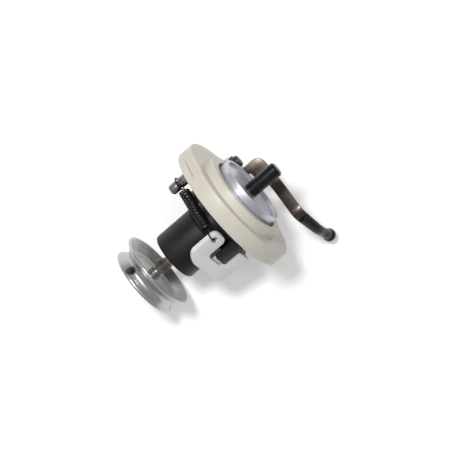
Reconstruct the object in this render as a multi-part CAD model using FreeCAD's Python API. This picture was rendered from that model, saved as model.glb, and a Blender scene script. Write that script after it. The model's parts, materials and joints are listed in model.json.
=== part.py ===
"""Sewing bobbin winder: round cream flange, swinging spindle bearing, drive pulley and latch lever.

Millimetres. The origin is the centre of the round flange's mounting face, +Z is along the spindle
towards the bobbin, and +X is the way that the spindle swings when the lever engages it.
"""
import math
import os

import FreeCAD
import Part

V = FreeCAD.Vector
UP = V(0, 0, 1)

# Clearances between pieces
RUNNING_GAP = 0.04
AXIAL_GAP = 0.1
SOFT_GAP = 0.3
SCREW_HOLE_GAP = 0.15

# Round flange with its boss, one painted casting
FLANGE_R = 27.8
FLANGE_THICK = 6.8
FLANGE_EDGE = 0.6
BOSS_R = 19.3
BOSS_TALL = 3.7
WELL_R = 15.8
WELL_DEEP = 2.2
NOTCH_ANGLE = 226.0
NOTCH_DEEP = 1.7
NOTCH_END = 2.6
NOTCH_LEDGE = 2.9
MOUNT_PCD_R = 23.0
MOUNT_HOLE_R = 1.65
MOUNT_HOLE_DEEP = 5.0
MOUNT_ANGLES = (60.0, 180.0, 300.0)

# Spindle axis, and how far the arm swings it
SPINDLE = V(0.6, -4.0, 0)
SWING_TRAVEL = 1.1

# Shaft, bobbin spindle and bobbin seat
SHAFT_R = 2.5
SHAFT_LOW = -45.0
SHAFT_END_CHAMFER = 0.5
SHAFT_MARK_Z = -35.6
SHAFT_MARK_DEEP = 0.2
SPIGOT_R = 1.7
SPIGOT_TALL = 7.0
BOBBIN_SPINDLE_R = 3.0
BOBBIN_SPINDLE_TOP = 26.4
BOBBIN_SPINDLE_CHAMFER = 0.7
SEAT_R = 14.5
SEAT_THICK = 3.8
SEAT_SINK = 0.5
SEAT_RIM = 1.1
SEAT_DISH = 1.2
SEAT_SLOPE = 0.4
SEAT_HUB_R = 6.2
SEAT_EDGE = 0.15
RING_THICK = 0.6
RING_R = 4.2
RING_GROOVE = 0.5

# Swinging bearing housing
HOUSING_R = 10.1
HOUSING_LOW = -27.4
HOUSING_STEP = -10.0
HOUSING_EDGE = 1.2
ARM_R = 9.3
NECK_R = 7.5
NECK_TOP = 7.4
NECK_ROOM = 0.7
BUSH_R = 4.6
BUSH_LONG = 9.0
BORE_RELIEF = 0.5
WASHER_R = 5.6
WASHER_THICK = 0.6

# Swing pivot, from the spindle axis
PIVOT = SPINDLE + V(3.0, 15.0, 0)
PIVOT_R = 2.6
PIVOT_BOSS_R = 5.5
PIVOT_HEAD_R = 4.2
PIVOT_HEAD_TALL = 1.2
PIVOT_TIP = 1.2
CLIP_R = 4.0
CLIP_THICK = 0.8

# Black backing plate under the flange
BACKING_R = 19.5
BACKING_THICK = 2.4
BACKING_SCREW_PCD_R = 16.4
BACKING_SCREW_ANGLES = (20.0, 160.0, 255.0)
BACKING_SCREW_R = 1.5
BACKING_HEAD_R = 2.7
BACKING_HEAD_TALL = 1.4
BACKING_SCREW_LONG = 6.0

# Pulley
PULLEY_TOP = -35.0
PULLEY_THICK = 8.4
PULLEY_R = 16.4
PULLEY_LOW_R = 15.0
PULLEY_FLOOR_R = 13.1
PULLEY_LIP = 1.0
PULLEY_DISH_R = 15.4
PULLEY_DISH_DEEP = 3.4
PULLEY_DISH_FLOOR_R = 11.6
PULLEY_UNDERCUT = 1.2
PULLEY_UNDERCUT_R = 12.6
PULLEY_HUB_R = 6.4
SET_SCREW_R = 1.8
SET_SCREW_Z = -40.6
SET_SCREW_HEX = 1.0
SET_SCREW_HEX_DEEP = 2.0
SET_SCREW_SINK = 0.7
SET_SCREW_ANGLE = 241.0

# Latch lever, from the spindle axis
LEVER_PIVOT = SPINDLE + V(-12.1, 14.6, 0)
LEVER_THICK = 1.2
LEVER_FOOT_R = 3.3
LEVER_PATH = ((-8.9, 16.9), (5.0, 16.9), (18.5, 11.3), (28.6, 21.0), (33.4, 31.6))
LEVER_BENDS = (14.0, 3.4, 11.0)
LEVER_LOW = 16.6
LEVER_TOP = 21.3
LOBE_RIGHT = 1.0
LOBE_CORNER = 3.6
LOBE_LEG = 3.4
LOBE_SLOPE = 2.5
LOBE_WEB = 2.2
LUG_R = 3.9
LUG_RISE = 0.9
LEVER_WASHER_THICK = 0.5
LEVER_WASHER_RIM = 0.6
LEVER_SHAFT_R = 2.2
LEVER_SPIGOT_R = 1.5
LEVER_SCREW_R = 1.1
LEVER_SCREW_DEEP = 5.0
LEVER_HEAD_R = 2.4
LEVER_HEAD_TALL = 1.5
SCREW_SLOT = 0.6
HEAD_EDGE = 0.4
LEVER_SLOT_ANGLE = 35.0
LEVER_BUSH_WALL = 0.9
GRIP_START = 2.7
GRIP_WALL = 0.9
GRIP_BULB_R = 2.7
GRIP_NECK_TALL = 4.3
TANG_TALL = 2.6
STRIP_CORNER = 0.6

# Cam on the lever shaft and the pad that it pushes
CAM_R = 5.0
CAM_OFFSET = 2.2
CAM_REST_ANGLE = 34.0
CAM_PUSH_ANGLE = -56.0
PAD_WIDE = 5.0
PAD_SHIFT = 2.1
PAD_CORNER = 0.5
CAM_SCREW_R = 1.0
CAM_SCREW_SINK = 0.8

# Spring plate: its face looks along PLATE_ANGLE, out from the spindle
PLATE_ANGLE = -47.0
PLATE_INNER = 12.2
PLATE_THICK = 2.2
PLATE_LEFT = -8.7
PLATE_RIGHT = 13.0
PLATE_LOW = -19.9
PLATE_TOP = -4.2
PLATE_SLOT_LEFT = -1.7
PLATE_SLOT_RIGHT = 7.1
PLATE_SLOT_LOW = -14.1
PLATE_HOLE_R = 1.35
PLATE_HOLE_IN = 2.7
PLATE_TAB_LOW = -10.2
PLATE_TAB_TOP = -5.2
PLATE_TAB_DEEP = 8.4
PLATE_TAB_STEP = 0.5
PLATE_SCREW_R = 1.5
PLATE_SCREW_HEAD_R = 2.5
PLATE_SCREW_HEAD_TALL = 1.8
PLATE_SCREW_LONG = 5.0
PLATE_SCREW_SLOT_DEEP = 0.8
EAR_WIDE = 6.6
EAR_OUT = 11.0

# Stop block in the spring plate's slot
STOP_WIDE = 5.4
STOP_DEEP = 2.5
STOP_LOW = -12.6
STOP_CORNER = 1.0
STOP_GAP = 0.4

# Spring stud and tension spring
STUD = SPINDLE + V(-19.6, -8.0, 0)
STUD_R = 2.1
STUD_LONG = 9.3
STUD_EDGE = 1.25
STUD_NECK_R = 1.6
STUD_NECK_Z = -4.9
STUD_NECK_TALL = 1.4
STUD_THREAD_R = 1.5
STUD_THREAD_LONG = 4.0
WIRE_R = 0.34
COIL_R = 1.95
COIL_TURNS = 14
COIL_PITCH = 1.16
COIL_LEAD = 1.3
HOOK_ROOM = 0.2


def at(point, z):
    return V(point.x, point.y, z)


def cyl(radius, low, high, centre):
    return Part.makeCylinder(radius, high - low, at(centre, low))


def ring(outer, inner, low, high, centre):
    return cyl(outer, low, high, centre).cut(cyl(inner, low - 1, high + 1, centre))


def turned(profile, centre):
    """A solid turned about the vertical axis through centre, from (radius, z) points."""
    points = [V(r, 0, z) for r, z in profile]
    face = Part.Face(Part.makePolygon(points + [points[0]]))
    solid = face.revolve(V(0, 0, 0), UP, 360)
    solid.translate(at(centre, 0))
    return solid


def unit(angle):
    return V(math.cos(math.radians(angle)), math.sin(math.radians(angle)), 0)


def rounded_wire(corners):
    """A closed wire through (point, radius) corners: straight runs joined by tangent arcs."""
    edges = []
    trims = []
    count = len(corners)
    for i in range(count):
        point, radius = corners[i]
        back = (corners[i - 1][0] - point).normalize()
        ahead = (corners[(i + 1) % count][0] - point).normalize()
        if radius <= 0:
            trims.append((point, None, point))
            continue
        half = back.getAngle(ahead) / 2
        reach = radius / math.tan(half)
        inward = (back + ahead).normalize()
        middle = point + inward * (radius / math.sin(half) - radius)
        trims.append((point + back * reach, middle, point + ahead * reach))
    for i in range(count):
        start, middle, end = trims[i]
        if middle is not None:
            edges.append(Part.Arc(start, middle, end).toShape())
        following = trims[(i + 1) % count][0]
        if end.distanceToPoint(following) > 1e-6:
            edges.append(Part.makeLine(end, following))
    return Part.Wire(edges)


def strip_corners(path, bends, thickness, z):
    """Corners of a bent strip's outline in plan, from its middle line and its bend radii."""
    points = [SPINDLE + V(x, y, z) for x, y in path]
    left = []
    right = []
    for i, point in enumerate(points):
        before = points[max(i - 1, 0)]
        after = points[min(i + 1, len(points) - 1)]
        first = (point - before) if i else (after - point)
        second = (after - point) if i < len(points) - 1 else (point - before)
        first.normalize()
        second.normalize()
        side = (UP.cross(first) + UP.cross(second)).normalize()
        stretch = thickness / 2 / side.dot(UP.cross(first))
        turn = first.cross(second).z
        bend = bends[i - 1] if 0 < i < len(points) - 1 else 0
        grow = math.copysign(thickness / 2, turn) if bend else 0
        left.append((point + side * stretch, bend - grow))
        right.append((point - side * stretch, bend + grow))
    return left + right[::-1]


def arc_from(start, tangent, end):
    """The arc that leaves start along tangent and ends at end."""
    chord = end - start
    across = chord - tangent * chord.dot(tangent)
    if across.Length < 1e-7:
        return Part.makeLine(start, end)
    across.normalize()
    radius = chord.dot(chord) / (2 * chord.dot(across))
    centre = start + across * radius
    middle = (start + end) * 0.5 - centre
    middle.normalize()
    return Part.Arc(start, centre + middle * radius, end).toShape()


def biarc(start, tangent, end, end_tangent):
    """Two arcs that leave start along tangent and reach end along end_tangent."""
    chord = end - start
    total = tangent + end_tangent
    spread = 2 * (1 - tangent.dot(end_tangent))
    if spread < 1e-9:
        reach = chord.dot(chord) / (2 * chord.dot(total))
    else:
        root = math.sqrt(chord.dot(total) ** 2 + spread * chord.dot(chord))
        reach = (root - chord.dot(total)) / spread
    joint = (start + tangent * reach + end - end_tangent * reach) * 0.5
    first = arc_from(start, tangent, joint)
    back = arc_from(end, end_tangent * -1, joint)
    return [first, back]


def wire_tube(stations, radius):
    """One unbroken round wire through (point, tangent) stations."""
    edges = []
    for (start, tangent), (end, end_tangent) in zip(stations, stations[1:]):
        edges += biarc(start, tangent, end, end_tangent)
    path = Part.Wire(Part.__sortEdges__(edges))
    start, tangent = stations[0]
    section = Part.Wire(Part.makeCircle(radius, start, tangent))
    return path.makePipeShell([section], True, False)


def plate_point(along, out, z):
    """A point on the spring plate: along its face, out from the spindle axis, and z."""
    return at(SPINDLE + unit(PLATE_ANGLE + 90) * along + unit(PLATE_ANGLE) * out, z)


def plate_block(left, right, inner, outer, low, high):
    corners = [(plate_point(a, o, low), 0) for a, o in
               ((left, inner), (right, inner), (right, outer), (left, outer))]
    return Part.Face(rounded_wire(corners)).extrude(V(0, 0, high - low))


BOSS_TOP = FLANGE_THICK + BOSS_TALL
WELL_FLOOR = BOSS_TOP - WELL_DEEP
SEAT_LOW = BOSS_TOP - SEAT_SINK
SEAT_TOP = SEAT_LOW + SEAT_THICK
SEAT_FLOOR = SEAT_TOP - SEAT_DISH
SEAT_HUB_LOW = NECK_TOP + WASHER_THICK + AXIAL_GAP
ARM_TOP = -BACKING_THICK - SOFT_GAP
NECK_BORE_R = NECK_R + SWING_TRAVEL + NECK_ROOM
LUG_TOP = BOSS_TOP + LUG_RISE
FOOT_LOW = LUG_TOP + LEVER_WASHER_THICK
FOOT_TOP = FOOT_LOW + LEVER_THICK
LEVER_BUSH_R = LEVER_SHAFT_R + LEVER_BUSH_WALL
CAM_LOW = HOUSING_STEP + SOFT_GAP
CAM_TOP = ARM_TOP - AXIAL_GAP
PLATE_OUTER = PLATE_INNER + PLATE_THICK
PLATE_TAB_LEFT = PLATE_RIGHT - PLATE_THICK
PLATE_HOLE_AT = PLATE_LEFT + PLATE_HOLE_IN
PLATE_HOLE_Z = PLATE_TOP - PLATE_HOLE_IN - WIRE_R
PLATE_SCREW_Z = (PLATE_TAB_LOW + PLATE_TAB_TOP) / 2
PLATE_SCREW_OUT = PLATE_INNER - PLATE_TAB_DEEP / 2


def base_flange():
    body = cyl(FLANGE_R, 0, FLANGE_THICK, V(0, 0, 0))
    rims = [e for e in body.Edges if e.BoundBox.ZLength < 1e-6]
    body = body.makeFillet(FLANGE_EDGE, rims)
    boss = cyl(BOSS_R, FLANGE_THICK - FLANGE_EDGE, BOSS_TOP, SPINDLE)
    top = [e for e in boss.Edges if e.BoundBox.ZMin > BOSS_TOP - 1e-6]
    boss = boss.makeFillet(FLANGE_EDGE, top)
    body = body.fuse([boss, cyl(LUG_R, FLANGE_THICK - FLANGE_EDGE, LUG_TOP, LEVER_PIVOT)])
    holes = [cyl(WELL_R, WELL_FLOOR, BOSS_TOP + 1, SPINDLE),
             cyl(NECK_BORE_R, -1, WELL_FLOOR + 1, SPINDLE),
             cyl(LEVER_BUSH_R, -1, LUG_TOP + 1, LEVER_PIVOT),
             cyl(PIVOT_HEAD_R + SCREW_HOLE_GAP, -1, PIVOT_HEAD_TALL + AXIAL_GAP, PIVOT),
             cyl(STUD_THREAD_R, -1, STUD_THREAD_LONG + AXIAL_GAP, STUD)]
    for angle in MOUNT_ANGLES:
        holes.append(cyl(MOUNT_HOLE_R, -1, MOUNT_HOLE_DEEP, unit(angle) * MOUNT_PCD_R))
    depth = BACKING_SCREW_LONG - BACKING_THICK + AXIAL_GAP
    for angle in BACKING_SCREW_ANGLES:
        holes.append(cyl(BACKING_SCREW_R, -1, depth, unit(angle) * BACKING_SCREW_PCD_R))
    return body.cut(holes + [notch_cutter()])


def notch_cutter():
    """A flat cut across the rim that runs out at one end and has a step at the other."""
    cutter = Part.makeBox(FLANGE_R, FLANGE_R + NOTCH_END, FLANGE_THICK)
    cutter.translate(V(FLANGE_R - NOTCH_DEEP, -FLANGE_R, NOTCH_LEDGE))
    cutter.rotate(V(0, 0, 0), UP, NOTCH_ANGLE)
    return cutter


def backing_plate():
    plate = cyl(BACKING_R, -BACKING_THICK, 0, V(0, 0, 0))
    holes = [cyl(NECK_BORE_R, -BACKING_THICK - 1, 1, SPINDLE),
             cyl(LEVER_BUSH_R, -BACKING_THICK - 1, 1, LEVER_PIVOT),
             cyl(PIVOT_R, -BACKING_THICK - 1, 1, PIVOT),
             cyl(STUD_R + SCREW_HOLE_GAP, -BACKING_THICK - 1, 1, STUD)]
    for angle in BACKING_SCREW_ANGLES:
        place = unit(angle) * BACKING_SCREW_PCD_R
        cone = turned([(0, -BACKING_THICK), (BACKING_HEAD_R, -BACKING_THICK),
                       (BACKING_SCREW_R, BACKING_HEAD_TALL - BACKING_THICK),
                       (0, BACKING_HEAD_TALL - BACKING_THICK)], place)
        holes.append(cone.fuse(cyl(BACKING_SCREW_R, -BACKING_THICK, 1, place)))
    return plate.cut(holes)


def backing_screws():
    screws = []
    for angle in BACKING_SCREW_ANGLES:
        place = unit(angle) * BACKING_SCREW_PCD_R
        low = -BACKING_THICK
        screw = turned([(0, low), (BACKING_HEAD_R, low), (BACKING_SCREW_R, low + BACKING_HEAD_TALL),
                        (BACKING_SCREW_R, low + BACKING_SCREW_LONG), (0, low + BACKING_SCREW_LONG)], place)
        slot = Part.makeBox(2 * BACKING_HEAD_R, SCREW_SLOT, SCREW_SLOT)
        slot.translate(at(place, low) - V(BACKING_HEAD_R, SCREW_SLOT / 2, 0))
        screws.append(screw.cut(slot))
    return Part.makeCompound(screws)


def pivot_pin():
    """Shoulder pin: head in the flange's recess, body through the backing plate and the arm."""
    low = HOUSING_STEP - AXIAL_GAP - CLIP_THICK - AXIAL_GAP - PIVOT_TIP
    pin = cyl(PIVOT_R, low, 0, PIVOT).fuse(cyl(PIVOT_HEAD_R, 0, PIVOT_HEAD_TALL, PIVOT))
    groove_top = HOUSING_STEP - AXIAL_GAP
    return pin.removeSplitter().cut(ring(PIVOT_R + 1, PIVOT_R - RING_GROOVE,
                                         groove_top - CLIP_THICK, groove_top, PIVOT))


def snap_ring(outer, shaft, groove, low, thick, centre, opening):
    """E-clip seated in a shaft's groove, its mouth towards the opening angle."""
    clip = ring(outer, shaft - groove, low, low + thick, centre)
    width = 2 * (shaft - groove)
    mouth = Part.makeBox(outer + 1, width, thick + 2, V(0, -width / 2, low - 1))
    mouth.rotate(V(0, 0, 0), UP, opening)
    mouth.translate(at(centre, 0))
    relief = [cyl(groove, low - 1, low + thick + 1, centre + unit(opening + a) * (shaft - groove))
              for a in (120, 180, 240)]
    return clip.cut([mouth] + relief)


def stop_block():
    right = PLATE_SLOT_RIGHT - STOP_GAP
    block = plate_block(right - STOP_WIDE, right, PLATE_OUTER + SWING_TRAVEL / 2 - STOP_DEEP,
                        PLATE_OUTER + SWING_TRAVEL / 2, STOP_LOW, -BACKING_THICK)
    low = [e for e in block.Edges if e.BoundBox.ZMax < STOP_LOW + 1e-6 and e.Length < STOP_WIDE - 0.1]
    return block.makeFillet(STOP_CORNER, low)


def spring_stud():
    low = -STUD_LONG
    stud = cyl(STUD_R, low, 0, STUD)
    stud = stud.makeFillet(STUD_EDGE, [e for e in stud.Edges if e.BoundBox.ZMax < low + 1e-6])
    neck = ring(STUD_R + 1, STUD_NECK_R, STUD_NECK_Z - STUD_NECK_TALL / 2,
                STUD_NECK_Z + STUD_NECK_TALL / 2, STUD)
    return stud.fuse(cyl(STUD_THREAD_R, 0, STUD_THREAD_LONG, STUD)).removeSplitter().cut(neck)


def tension_spring():
    """Stations: a loop round the stud, the coil, and a loop through the spring plate's hole."""
    loop_r = STUD_R + WIRE_R + HOOK_ROOM
    stud_loop = at(STUD, STUD_NECK_Z)
    hook_centre = plate_point((PLATE_LEFT + PLATE_HOLE_AT) / 2 - HOOK_ROOM,
                              (PLATE_INNER + PLATE_OUTER) / 2, PLATE_HOLE_Z)
    hook_r = (PLATE_HOLE_AT - PLATE_LEFT) / 2 + HOOK_ROOM + WIRE_R
    axis = hook_centre - stud_loop
    axis.normalize()
    side = UP.cross(axis).normalize()
    rise = axis.cross(side)
    stations = []
    for turn in (360, 270, 180, 90):
        angle = math.radians(turn)
        radial = axis * math.cos(angle) + side * math.sin(angle)
        tangent = axis * math.sin(angle) - side * math.cos(angle)
        stations.append((stud_loop + radial * loop_r, tangent.normalize()))
    coil_start = stud_loop + axis * (loop_r + COIL_LEAD)
    lean = COIL_PITCH / (2 * math.pi * COIL_R)
    for step in range(4 * COIL_TURNS + 1):
        angle = math.radians(90 * step)
        radial = side * math.cos(angle) - rise * math.sin(angle)
        turning = side * -math.sin(angle) - rise * math.cos(angle)
        stations.append((coil_start + axis * (COIL_PITCH * step / 4) + radial * COIL_R,
                         (turning + axis * lean).normalize()))
    for turn in (90, 0, -90, -150):
        angle = math.radians(turn)
        radial = axis * math.cos(angle) + side * math.sin(angle)
        tangent = axis * math.sin(angle) - side * math.cos(angle)
        stations.append((hook_centre + radial * hook_r, tangent.normalize()))
    report_least_gap(stations)
    return wire_tube(stations, WIRE_R)


def report_least_gap(stations):
    """Print the least gap between stretches of the wire that lie over half a turn apart."""
    points = []
    for (start, tangent), (end, end_tangent) in zip(stations, stations[1:]):
        for edge in biarc(start, tangent, end, end_tangent):
            points += edge.discretize(5)[:-1]
    least = 1e9
    for i, point in enumerate(points):
        for j in range(i + 14, len(points)):
            least = min(least, point.distanceToPoint(points[j]))
    print("spring wire: least gap to itself %.2f mm" % (least - 2 * WIRE_R))


def bearing_housing():
    """Bearing tube, swing arm, cam pad, ear for the spring plate and neck: one black casting."""
    tube = cyl(HOUSING_R, HOUSING_LOW, HOUSING_STEP, SPINDLE)
    tube = tube.makeFillet(HOUSING_EDGE, [e for e in tube.Edges if e.BoundBox.ZMax < HOUSING_LOW + 1e-6])
    reach = PIVOT - SPINDLE
    lean = math.degrees(math.asin((ARM_R - PIVOT_BOSS_R) / reach.Length))
    heading = math.degrees(math.atan2(reach.y, reach.x))
    corners = []
    for centre, radius, turn in ((SPINDLE, ARM_R, -90), (PIVOT, PIVOT_BOSS_R, -90),
                                 (PIVOT, PIVOT_BOSS_R, 90), (SPINDLE, ARM_R, 90)):
        offset = heading + turn + (lean if turn < 0 else -lean)
        corners.append((at(centre + unit(offset) * radius, HOUSING_STEP), 0))
    tall = ARM_TOP - HOUSING_STEP
    arm = Part.Face(rounded_wire(corners)).extrude(V(0, 0, tall))
    push = unit(CAM_PUSH_ANGLE)
    across = unit(CAM_PUSH_ANGLE + 90)
    face = LEVER_PIVOT + push * (CAM_R + SOFT_GAP) + across * PAD_SHIFT
    depth = (SPINDLE - face).dot(push)
    pad = [(at(face - across * (PAD_WIDE / 2), HOUSING_STEP), PAD_CORNER),
           (at(face + across * (PAD_WIDE / 2), HOUSING_STEP), PAD_CORNER),
           (at(face + across * (PAD_WIDE / 2) + push * depth, HOUSING_STEP), 0),
           (at(face - across * (PAD_WIDE / 2) + push * depth, HOUSING_STEP), 0)]
    ear = plate_block(PLATE_TAB_LEFT - AXIAL_GAP - EAR_WIDE, PLATE_TAB_LEFT, 0, EAR_OUT,
                      PLATE_TAB_LOW, PLATE_TAB_TOP)
    body = tube.fuse([arm, cyl(ARM_R, HOUSING_STEP, ARM_TOP, SPINDLE),
                      cyl(PIVOT_BOSS_R, HOUSING_STEP, ARM_TOP, PIVOT),
                      Part.Face(rounded_wire(pad)).extrude(V(0, 0, tall)), ear,
                      cyl(NECK_R, HOUSING_STEP, NECK_TOP, SPINDLE)])
    screw_hole = plate_screw_cylinder(PLATE_SCREW_R, PLATE_TAB_LEFT - PLATE_SCREW_LONG, PLATE_RIGHT)
    bores = [cyl(BUSH_R, HOUSING_LOW - 1, NECK_TOP + 1, SPINDLE),
             cyl(BUSH_R + BORE_RELIEF, HOUSING_LOW + BUSH_LONG, NECK_TOP - BUSH_LONG, SPINDLE),
             cyl(PIVOT_R + RUNNING_GAP, HOUSING_STEP - 1, ARM_TOP + 1, PIVOT), screw_hole]
    return body.cut(bores).removeSplitter()


def plate_screw_cylinder(radius, left, right):
    start = plate_point(left, PLATE_SCREW_OUT, PLATE_SCREW_Z)
    return Part.makeCylinder(radius, right - left, start, unit(PLATE_ANGLE + 90))


def bushing(low):
    return ring(BUSH_R, SHAFT_R + RUNNING_GAP, low, low + BUSH_LONG, SPINDLE)


def spring_plate():
    """White plate: C shape with the slot open upwards, and a tab bent back to the arm's ear."""
    corners = [((PLATE_LEFT, PLATE_TOP), 2.6), ((PLATE_LEFT, PLATE_LOW + 3.4), 1.5),
               ((PLATE_LEFT + 3.6, PLATE_LOW), 3.0), ((PLATE_RIGHT, PLATE_LOW), 4.4),
               ((PLATE_RIGHT, PLATE_TAB_LOW), 0), ((PLATE_RIGHT + PLATE_TAB_STEP, PLATE_TAB_LOW), 0),
               ((PLATE_RIGHT + PLATE_TAB_STEP, PLATE_TAB_TOP), 1.2),
               ((PLATE_SLOT_RIGHT, PLATE_TAB_TOP), 1.2), ((PLATE_SLOT_RIGHT, PLATE_SLOT_LOW), 1.6),
               ((PLATE_SLOT_LEFT, PLATE_SLOT_LOW), 2.2), ((PLATE_SLOT_LEFT, PLATE_TOP), 2.6)]
    wire = rounded_wire([(plate_point(a, PLATE_INNER, z), r) for (a, z), r in corners])
    plate = Part.Face(wire).extrude(unit(PLATE_ANGLE) * PLATE_THICK)
    tab = plate_block(PLATE_TAB_LEFT, PLATE_RIGHT + PLATE_TAB_STEP, PLATE_INNER - PLATE_TAB_DEEP,
                      PLATE_INNER + PLATE_THICK / 2, PLATE_TAB_LOW, PLATE_TAB_TOP)
    hole = Part.makeCylinder(PLATE_HOLE_R, PLATE_THICK + 2,
                             plate_point(PLATE_HOLE_AT, PLATE_INNER - 1, PLATE_HOLE_Z), unit(PLATE_ANGLE))
    bolt = plate_screw_cylinder(PLATE_SCREW_R + SCREW_HOLE_GAP, PLATE_TAB_LEFT - 1, PLATE_RIGHT + 2)
    return plate.fuse(tab).removeSplitter().cut([hole, bolt])


def plate_screw():
    seat = PLATE_RIGHT + PLATE_TAB_STEP
    head = plate_screw_cylinder(PLATE_SCREW_HEAD_R, seat, seat + PLATE_SCREW_HEAD_TALL)
    head = head.makeFillet(HEAD_EDGE, [head.Edges[0]])
    shank = plate_screw_cylinder(PLATE_SCREW_R, PLATE_TAB_LEFT - PLATE_SCREW_LONG + AXIAL_GAP, seat)
    top = seat + PLATE_SCREW_HEAD_TALL
    slot = plate_block(top - PLATE_SCREW_SLOT_DEEP, top + 1,
                       PLATE_SCREW_OUT - PLATE_SCREW_HEAD_R, PLATE_SCREW_OUT + PLATE_SCREW_HEAD_R,
                       PLATE_SCREW_Z - SCREW_SLOT / 2, PLATE_SCREW_Z + SCREW_SLOT / 2)
    return head.fuse(shank).removeSplitter().cut(slot)


def winder_shaft():
    chamfer = SHAFT_END_CHAMFER
    shaft = turned([(0, SHAFT_LOW), (SHAFT_R - chamfer, SHAFT_LOW), (SHAFT_R, SHAFT_LOW + chamfer),
                    (SHAFT_R, SEAT_FLOOR), (SPIGOT_R, SEAT_FLOOR),
                    (SPIGOT_R, SEAT_FLOOR + SPIGOT_TALL), (0, SEAT_FLOOR + SPIGOT_TALL)], SPINDLE)
    ring_top = NECK_TOP - BUSH_LONG - AXIAL_GAP
    grooves = [ring(SHAFT_R + 1, SHAFT_R - RING_GROOVE, ring_top - RING_THICK, ring_top, SPINDLE),
               ring(SHAFT_R + 1, SHAFT_R - SHAFT_MARK_DEEP, SHAFT_MARK_Z, SHAFT_MARK_Z + RING_THICK,
                     SPINDLE)]
    return shaft.cut(grooves)


def bobbin_spindle():
    top = BOBBIN_SPINDLE_TOP
    chamfer = BOBBIN_SPINDLE_CHAMFER
    hole_top = SEAT_FLOOR + SPIGOT_TALL + AXIAL_GAP
    return turned([(SPIGOT_R, SEAT_FLOOR), (BOBBIN_SPINDLE_R, SEAT_FLOOR), (BOBBIN_SPINDLE_R, top - chamfer),
                   (BOBBIN_SPINDLE_R - chamfer, top), (0, top), (0, hole_top), (SPIGOT_R, hole_top)], SPINDLE)


def bobbin_seat_disc():
    rim = SEAT_R - SEAT_RIM
    return turned([(SHAFT_R, SEAT_HUB_LOW), (SEAT_HUB_R, SEAT_HUB_LOW), (SEAT_HUB_R, SEAT_LOW),
                   (SEAT_R - SEAT_EDGE, SEAT_LOW), (SEAT_R, SEAT_LOW + SEAT_EDGE),
                   (SEAT_R, SEAT_TOP - SEAT_EDGE), (SEAT_R - SEAT_EDGE, SEAT_TOP), (rim, SEAT_TOP),
                   (rim - SEAT_SLOPE, SEAT_FLOOR), (SHAFT_R, SEAT_FLOOR)], SPINDLE)


def pulley():
    """V pulley: wide lip and deep dish towards the housing, concave groove, smaller lower lip."""
    top = PULLEY_TOP
    low = top - PULLEY_THICK
    groove_start = V(PULLEY_R, 0, top - PULLEY_LIP)
    groove_end = V(PULLEY_LOW_R, 0, low + PULLEY_LIP)
    groove_floor = V(PULLEY_FLOOR_R, 0, (groove_start.z + groove_end.z) / 2)
    over = [V(SHAFT_R, 0, top - PULLEY_DISH_DEEP), V(PULLEY_DISH_FLOOR_R, 0, top - PULLEY_DISH_DEEP),
            V(PULLEY_DISH_R, 0, top), V(PULLEY_R, 0, top), groove_start]
    under = [groove_end, V(PULLEY_LOW_R, 0, low), V(PULLEY_UNDERCUT_R, 0, low),
             V(PULLEY_UNDERCUT_R - PULLEY_UNDERCUT, 0, low + PULLEY_UNDERCUT),
             V(PULLEY_HUB_R, 0, low + PULLEY_UNDERCUT), V(PULLEY_HUB_R, 0, low), V(SHAFT_R, 0, low), over[0]]
    edges = [Part.makeLine(a, b) for a, b in zip(over, over[1:])]
    edges.append(Part.Arc(groove_start, groove_floor, groove_end).toShape())
    edges += [Part.makeLine(a, b) for a, b in zip(under, under[1:])]
    body = Part.Face(Part.Wire(edges)).revolve(V(0, 0, 0), UP, 360)
    body.translate(SPINDLE)
    tunnel = Part.makeCylinder(SET_SCREW_R, PULLEY_R, at(SPINDLE, SET_SCREW_Z), unit(SET_SCREW_ANGLE))
    return body.cut([tunnel, cyl(SHAFT_R, low - 1, top + 1, SPINDLE)])


def pulley_set_screw():
    way = unit(SET_SCREW_ANGLE)
    across = way.cross(UP)
    outer = PULLEY_FLOOR_R - SET_SCREW_SINK
    axis = at(SPINDLE, SET_SCREW_Z)
    screw = Part.makeCylinder(SET_SCREW_R, outer - SHAFT_R, axis + way * SHAFT_R, way)
    corners = []
    for k in range(6):
        angle = math.radians(60 * k)
        corner = across * (SET_SCREW_HEX * math.cos(angle)) + UP * (SET_SCREW_HEX * math.sin(angle))
        corners.append(axis + way * (outer - SET_SCREW_HEX_DEEP) + corner)
    hexagon = Part.Face(Part.makePolygon(corners + [corners[0]]))
    return screw.cut(hexagon.extrude(way * (SET_SCREW_HEX_DEEP + 1)))


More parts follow.
